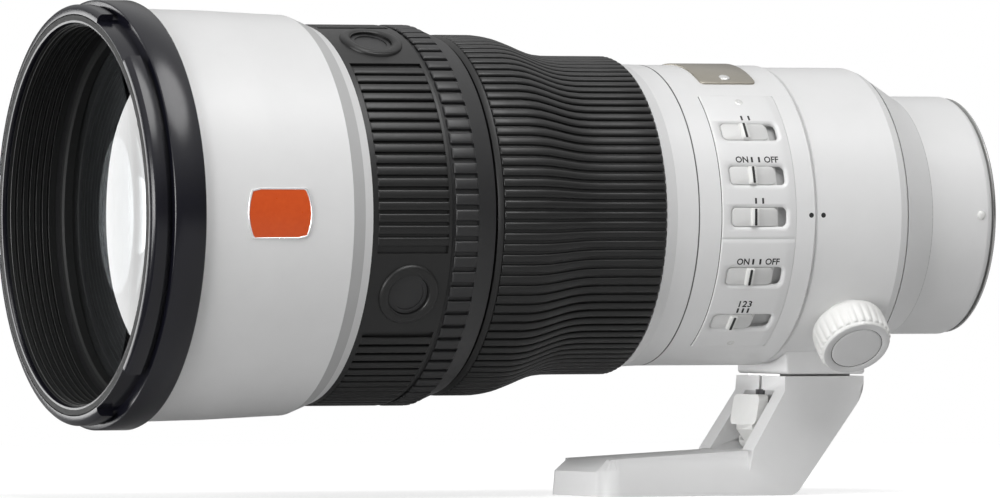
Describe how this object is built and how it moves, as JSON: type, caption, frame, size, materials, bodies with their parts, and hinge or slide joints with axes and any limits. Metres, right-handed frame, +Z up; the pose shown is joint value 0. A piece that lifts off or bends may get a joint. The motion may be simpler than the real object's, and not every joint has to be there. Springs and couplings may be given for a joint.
{
  "type": "telephoto lens",
  "caption": "Large-aperture telephoto lens with ribbed focus ring, switch panel, turning tripod collar, detachable foot and bayonet camera mount.",
  "frame": {"origin": "centre of the camera mount's flange face, on the optical axis", "axes": "+X along the optical axis towards the camera, so the front element faces -X; +Z up, away from the tripod foot; -Y is the side with the switches"},
  "size_m": [0.2858, 0.1248, 0.1451],
  "materials": {
    "white_paint": "satin",
    "black_paint": "satin",
    "baffle_black": "matte",
    "grip_rubber": "matte",
    "coated_glass": "polished",
    "structure_metal": "matte",
    "bare_metal": "satin",
    "plate_metal": "satin",
    "steel": "satin",
    "switch_plastic": "satin",
    "black_plastic": "satin",
    "liner_plastic": "matte",
    "board_green": "matte",
    "mount_metal": "satin"
  },
  "bodies": {
    "barrel": {"front_ring": "black_paint", "light_baffle": "baffle_black", "front_barrel": "white_paint", "front_element": "coated_glass", "second_element": "coated_glass", "front_cell": "structure_metal", "retaining_rings": "baffle_black", "main_tube": "structure_metal", "hold_grip": "grip_rubber", "white_ring": "white_paint", "panel_barrel": "white_paint", "switch_panel": "white_paint", "panel_screws": "steel", "top_plate": "plate_metal", "rear_barrel": "white_paint", "mount_flange": "mount_metal", "mount_screws": "steel", "dust_gasket": "grip_rubber", "rear_baffle": "black_plastic", "contact_block": "black_plastic", "filter_cage": "structure_metal", "focus_guides": "bare_metal", "focus_motors": "black_plastic", "iris_unit": "black_plastic", "stabiliser_frame": "structure_metal", "rear_group_cell": "structure_metal", "rear_group_element": "coated_glass", "main_board": "board_green"},
    "focus_ring": {"focus_ring_grip": "grip_rubber", "focus_sleeve": "structure_metal"},
    "function_ring": {"function_ring": "black_paint"},
    "tripod_collar": {"tripod_collar": "white_paint", "collar_liners": "liner_plastic", "collar_base": "white_paint", "foot_rail": "bare_metal"},
    "lock_knob": {"lock_knob": "white_paint"},
    "brake_shoe": {"brake_shoe": "black_plastic"},
    "foot": {"foot": "white_paint", "foot_sockets": "steel", "foot_lock_pin": "steel"},
    "foot_lock_lever": {"foot_lock_lever": "white_paint"},
    "clamp_plunger": {"clamp_plunger": "steel"},
    "filter_holder": {"filter_holder": "white_paint", "filter_glass": "coated_glass"},
    "filter_lock": {"filter_lock": "switch_plastic"},
    "front_focus_group": {"front_focus_carriage": "structure_metal", "front_focus_element": "coated_glass"},
    "rear_focus_group": {"rear_focus_carriage": "structure_metal", "rear_focus_element": "coated_glass"},
    "stabiliser_group": {"stabiliser_group": "bare_metal", "stabiliser_element": "coated_glass"},
    "hold_button_1": {"hold_button_1": "black_plastic"},
    "hold_button_2": {"hold_button_2": "black_plastic"},
    "hold_button_3": {"hold_button_3": "black_plastic"},
    "hold_button_4": {"hold_button_4": "black_plastic"},
    "switch_slide_1": {"switch_slide_1": "switch_plastic"},
    "switch_slide_2": {"switch_slide_2": "switch_plastic"},
    "switch_slide_3": {"switch_slide_3": "switch_plastic"},
    "switch_slide_4": {"switch_slide_4": "switch_plastic"},
    "switch_slide_5": {"switch_slide_5": "switch_plastic"}
  },
  "joints": [
    {"name": "focus_turn", "type": "hinge", "parent": "barrel", "child": "focus_ring", "pos_m": [-0.1409, 0, 0], "axis": [1, 0, 0], "continuous": true},
    {"name": "function_turn", "type": "hinge", "parent": "barrel", "child": "function_ring", "pos_m": [-0.17725, 0, 0], "axis": [1, 0, 0], "range_deg": [-12, 12], "stiffness_Nm_per_rad": 0.3},
    {"name": "collar_turn", "type": "hinge", "parent": "barrel", "child": "tripod_collar", "pos_m": [-0.048, 0, 0], "axis": [1, 0, 0], "continuous": true},
    {"name": "knob_turn", "type": "hinge", "parent": "tripod_collar", "child": "lock_knob", "pos_m": [-0.048, 0, 0], "axis": [0, -0.7071, -0.7071], "range_deg": [0, 360]},
    {"name": "shoe_slide", "type": "slide", "parent": "tripod_collar", "child": "brake_shoe", "axis": [0, -0.7071, -0.7071], "range_m": [0, 0.00070001]},
    {"name": "foot_slide", "type": "slide", "parent": "tripod_collar", "child": "foot", "axis": [-1, 0, 0], "range_m": [0, 0.024]},
    {"name": "foot_lever_turn", "type": "hinge", "parent": "foot", "child": "foot_lock_lever", "pos_m": [-0.0609, 0, -0.0665], "axis": [0, -1, 0], "range_deg": [0, 50]},
    {"name": "plunger_slide", "type": "slide", "parent": "foot", "child": "clamp_plunger", "axis": [0, 0, -1], "range_m": [0, 0.00040001]},
    {"name": "filter_slide", "type": "slide", "parent": "barrel", "child": "filter_holder", "axis": [0, 0.5373, 0.8434], "range_m": [0, 0.06]},
    {"name": "filter_lock_turn", "type": "hinge", "parent": "filter_holder", "child": "filter_lock", "pos_m": [-0.0122, 0, 0], "axis": [0, 0.5373, 0.8434], "range_deg": [0, 90]},
    {"name": "front_focus_slide", "type": "slide", "parent": "barrel", "child": "front_focus_group", "axis": [1, 0, 0], "range_m": [-0.005, 0.005]},
    {"name": "rear_focus_slide", "type": "slide", "parent": "barrel", "child": "rear_focus_group", "axis": [1, 0, 0], "range_m": [-0.005, 0.005]},
    {"name": "stabiliser_shift", "type": "slide", "parent": "barrel", "child": "stabiliser_group", "axis": [0, 0, 1], "range_m": [-0.001, 0.001], "stiffness_N_per_m": 1500},
    {"name": "hold_press_1", "type": "slide", "parent": "barrel", "child": "hold_button_1", "axis": [0, 0.4147, -0.91], "range_m": [0, 0.0008], "stiffness_N_per_m": 1200, "springref_m": -0.0008},
    {"name": "hold_press_2", "type": "slide", "parent": "barrel", "child": "hold_button_2", "axis": [0, -0.91, -0.4147], "range_m": [0, 0.0008], "stiffness_N_per_m": 1200, "springref_m": -0.0008},
    {"name": "hold_press_3", "type": "slide", "parent": "barrel", "child": "hold_button_3", "axis": [0, -0.4147, 0.91], "range_m": [0, 0.0008], "stiffness_N_per_m": 1200, "springref_m": -0.0008},
    {"name": "hold_press_4", "type": "slide", "parent": "barrel", "child": "hold_button_4", "axis": [0, 0.91, 0.4147], "range_m": [0, 0.0008], "stiffness_N_per_m": 1200, "springref_m": -0.0008},
    {"name": "switch_move_1", "type": "slide", "parent": "barrel", "child": "switch_slide_1", "axis": [1, 0, 0], "range_m": [0, 0.0031]},
    {"name": "switch_move_2", "type": "slide", "parent": "barrel", "child": "switch_slide_2", "axis": [1, 0, 0], "range_m": [0, 0.0031]},
    {"name": "switch_move_3", "type": "slide", "parent": "barrel", "child": "switch_slide_3", "axis": [1, 0, 0], "range_m": [0, 0.0031]},
    {"name": "switch_move_4", "type": "slide", "parent": "barrel", "child": "switch_slide_4", "axis": [1, 0, 0], "range_m": [0, 0.0031]},
    {"name": "switch_move_5", "type": "slide", "parent": "barrel", "child": "switch_slide_5", "axis": [1, 0, 0], "range_m": [0, 0.006]}
  ],
  "couplings": [
    {"joint": "shoe_slide", "follows": "knob_turn", "m_per_rad": 0.00011141},
    {"joint": "plunger_slide", "follows": "foot_lever_turn", "m_per_rad": 0.00045837}
  ]
}
